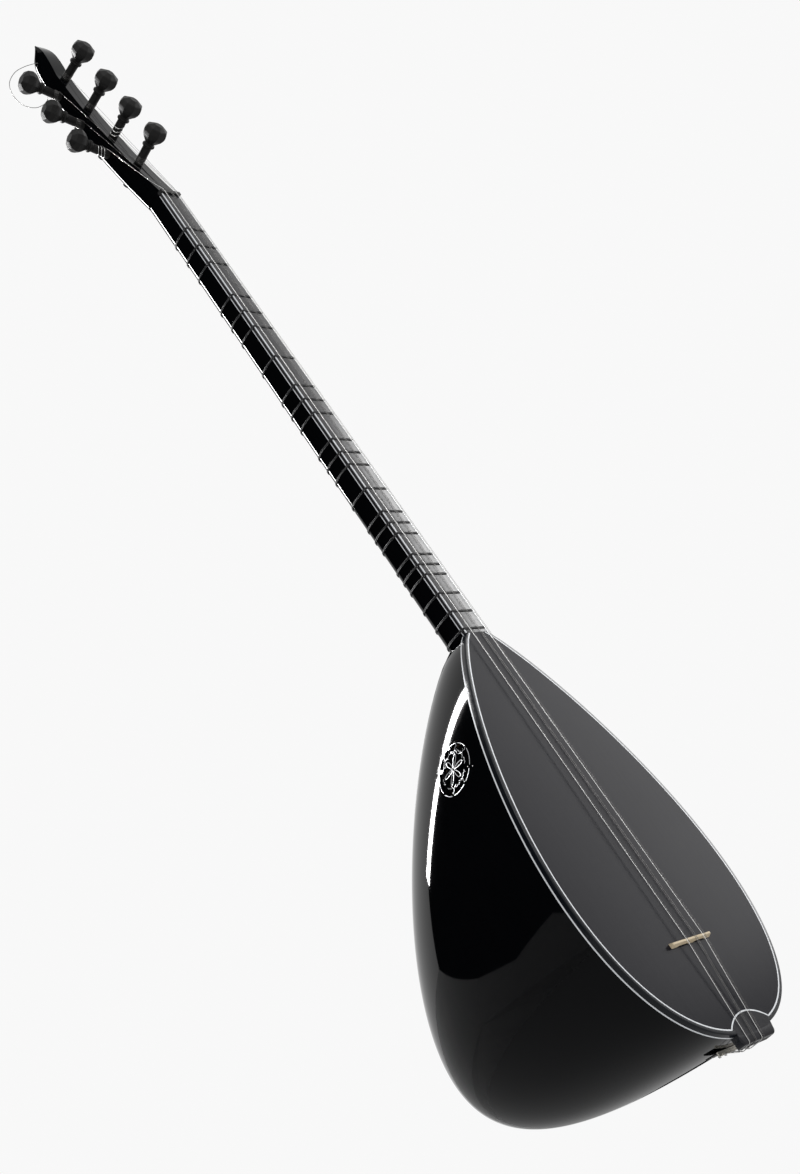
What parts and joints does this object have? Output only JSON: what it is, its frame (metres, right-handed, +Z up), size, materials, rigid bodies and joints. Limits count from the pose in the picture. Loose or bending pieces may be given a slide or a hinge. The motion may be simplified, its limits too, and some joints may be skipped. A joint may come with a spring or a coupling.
{
  "type": "long-neck saz",
  "caption": "Long-neck lute with a deep black pear-shaped bowl, flat dark soundboard, slim neck with tied frets and a raked headstock with friction pegs.",
  "frame": {"origin": "middle of the tail block's flat lower end face, at the tail end of the instrument", "axes": "+Z up along the neck towards the pegs, the soundboard faces -Y, +X to the right seen from the front"},
  "size_m": [0.2536, 0.303, 1.2292],
  "materials": {
    "black_lacquer": "deep gloss black lacquer over wood",
    "black_satin": "satin black stained hardwood",
    "charcoal_board": "satin dark grey lacquer on spruce",
    "white_line": "inlaid white line",
    "pale_wood": "bare pale tan hardwood",
    "steel_wire": "drawn steel string",
    "anchor_steel": "pressed steel plate",
    "nylon": "dark nylon line, tied",
    "inner_wood": "bare inner wood"
  },
  "bodies": {
    "saz": {"bowl": "black_lacquer", "soundboard": "charcoal_board", "rosette": "black_lacquer", "neck": "black_lacquer", "fingerboard": "black_satin", "headstock": "black_lacquer", "nut": "black_satin", "tail_block": "black_satin", "half_moon": "charcoal_board", "binding": "black_satin", "face_line": "white_line", "side_line": "white_line", "string_anchor": "anchor_steel", "neck_block": "inner_wood", "loose_string_end": "steel_wire", "string_1": "steel_wire", "string_2": "steel_wire", "string_3": "steel_wire", "string_4": "steel_wire", "string_5": "steel_wire", "string_6": "steel_wire", "string_7": "steel_wire"},
    "front_peg_1": {"front_peg_1": "black_satin", "winding_1": "steel_wire"},
    "front_peg_2": {"front_peg_2": "black_satin", "winding_2": "steel_wire"},
    "front_peg_3": {"front_peg_3": "black_satin", "winding_3": "steel_wire"},
    "front_peg_4": {"front_peg_4": "black_satin", "winding_4": "steel_wire"},
    "side_peg_1": {"side_peg_1": "black_satin", "winding_5": "steel_wire"},
    "side_peg_2": {"side_peg_2": "black_satin", "winding_6": "steel_wire"},
    "side_peg_3": {"side_peg_3": "black_satin", "winding_7": "steel_wire"},
    "bridge": {"bridge": "pale_wood"},
    "fret_01": {"fret_01": "nylon"},
    "fret_02": {"fret_02": "nylon"},
    "fret_03": {"fret_03": "nylon"},
    "fret_04": {"fret_04": "nylon"},
    "fret_05": {"fret_05": "nylon"},
    "fret_06": {"fret_06": "nylon"},
    "fret_07": {"fret_07": "nylon"},
    "fret_08": {"fret_08": "nylon"},
    "fret_09": {"fret_09": "nylon"},
    "fret_10": {"fret_10": "nylon"},
    "fret_11": {"fret_11": "nylon"},
    "fret_12": {"fret_12": "nylon"},
    "fret_13": {"fret_13": "nylon"},
    "fret_14": {"fret_14": "nylon"},
    "fret_15": {"fret_15": "nylon"},
    "fret_16": {"fret_16": "nylon"},
    "fret_17": {"fret_17": "nylon"},
    "fret_18": {"fret_18": "nylon"},
    "fret_19": {"fret_19": "nylon"},
    "fret_20": {"fret_20": "nylon"},
    "fret_21": {"fret_21": "nylon"},
    "fret_22": {"fret_22": "nylon"},
    "fret_23": {"fret_23": "nylon"}
  },
  "joints": [
    {"name": "front_peg_1_turn", "type": "hinge", "parent": "saz", "child": "front_peg_1", "pos_m": [0, 0.00059, 1.03], "axis": [0, -0.988, 0.1541], "continuous": true},
    {"name": "front_peg_2_turn", "type": "hinge", "parent": "saz", "child": "front_peg_2", "pos_m": [0, 0.00692, 1.076], "axis": [0, -0.993, 0.1184], "continuous": true},
    {"name": "front_peg_3_turn", "type": "hinge", "parent": "saz", "child": "front_peg_3", "pos_m": [0, 0.01164, 1.123], "axis": [0, -0.9967, 0.0813], "continuous": true},
    {"name": "front_peg_4_turn", "type": "hinge", "parent": "saz", "child": "front_peg_4", "pos_m": [0, 0.01463, 1.171], "axis": [0, -0.9991, 0.0432], "continuous": true},
    {"name": "side_peg_1_turn", "type": "hinge", "parent": "saz", "child": "side_peg_1", "pos_m": [-0.01094, 0.01771, 1.06], "axis": [-0.9397, 0, 0.342], "continuous": true},
    {"name": "side_peg_2_turn", "type": "hinge", "parent": "saz", "child": "side_peg_2", "pos_m": [-0.01033, 0.02322, 1.109], "axis": [-0.9397, 0, 0.342], "continuous": true},
    {"name": "side_peg_3_turn", "type": "hinge", "parent": "saz", "child": "side_peg_3", "pos_m": [-0.00974, 0.0267, 1.156], "axis": [-0.9397, 0, 0.342], "continuous": true},
    {"name": "bridge_slide", "type": "slide", "parent": "saz", "child": "bridge", "axis": [0, 0, 1], "range_m": [-0.0015, 0.006]},
    {"name": "fret_01_slide", "type": "slide", "parent": "saz", "child": "fret_01", "axis": [0, 0, 1], "range_m": [-0.003, 0.003]},
    {"name": "fret_02_slide", "type": "slide", "parent": "saz", "child": "fret_02", "axis": [0, 0, 1], "range_m": [-0.003, 0.003]},
    {"name": "fret_03_slide", "type": "slide", "parent": "saz", "child": "fret_03", "axis": [0, 0, 1], "range_m": [-0.003, 0.003]},
    {"name": "fret_04_slide", "type": "slide", "parent": "saz", "child": "fret_04", "axis": [0, 0, 1], "range_m": [-0.003, 0.003]},
    {"name": "fret_05_slide", "type": "slide", "parent": "saz", "child": "fret_05", "axis": [0, 0, 1], "range_m": [-0.003, 0.003]},
    {"name": "fret_06_slide", "type": "slide", "parent": "saz", "child": "fret_06", "axis": [0, 0, 1], "range_m": [-0.003, 0.003]},
    {"name": "fret_07_slide", "type": "slide", "parent": "saz", "child": "fret_07", "axis": [0, 0, 1], "range_m": [-0.003, 0.003]},
    {"name": "fret_08_slide", "type": "slide", "parent": "saz", "child": "fret_08", "axis": [0, 0, 1], "range_m": [-0.003, 0.003]},
    {"name": "fret_09_slide", "type": "slide", "parent": "saz", "child": "fret_09", "axis": [0, 0, 1], "range_m": [-0.003, 0.003]},
    {"name": "fret_10_slide", "type": "slide", "parent": "saz", "child": "fret_10", "axis": [0, 0, 1], "range_m": [-0.003, 0.003]},
    {"name": "fret_11_slide", "type": "slide", "parent": "saz", "child": "fret_11", "axis": [0, 0, 1], "range_m": [-0.003, 0.003]},
    {"name": "fret_12_slide", "type": "slide", "parent": "saz", "child": "fret_12", "axis": [0, 0, 1], "range_m": [-0.003, 0.003]},
    {"name": "fret_13_slide", "type": "slide", "parent": "saz", "child": "fret_13", "axis": [0, 0, 1], "range_m": [-0.003, 0.003]},
    {"name": "fret_14_slide", "type": "slide", "parent": "saz", "child": "fret_14", "axis": [0, 0, 1], "range_m": [-0.003, 0.003]},
    {"name": "fret_15_slide", "type": "slide", "parent": "saz", "child": "fret_15", "axis": [0, 0, 1], "range_m": [-0.003, 0.003]},
    {"name": "fret_16_slide", "type": "slide", "parent": "saz", "child": "fret_16", "axis": [0, 0, 1], "range_m": [-0.003, 0.003]},
    {"name": "fret_17_slide", "type": "slide", "parent": "saz", "child": "fret_17", "axis": [0, 0, 1], "range_m": [-0.003, 0.003]},
    {"name": "fret_18_slide", "type": "slide", "parent": "saz", "child": "fret_18", "axis": [0, 0, 1], "range_m": [-0.003, 0.003]},
    {"name": "fret_19_slide", "type": "slide", "parent": "saz", "child": "fret_19", "axis": [0, 0, 1], "range_m": [-0.003, 0.003]},
    {"name": "fret_20_slide", "type": "slide", "parent": "saz", "child": "fret_20", "axis": [0, 0, 1], "range_m": [-0.003, 0.003]},
    {"name": "fret_21_slide", "type": "slide", "parent": "saz", "child": "fret_21", "axis": [0, 0, 1], "range_m": [-0.003, 0.003]},
    {"name": "fret_22_slide", "type": "slide", "parent": "saz", "child": "fret_22", "axis": [0, 0, 1], "range_m": [-0.003, 0.003]},
    {"name": "fret_23_slide", "type": "slide", "parent": "saz", "child": "fret_23", "axis": [0, 0, 1], "range_m": [-0.003, 0.003]}
  ]
}
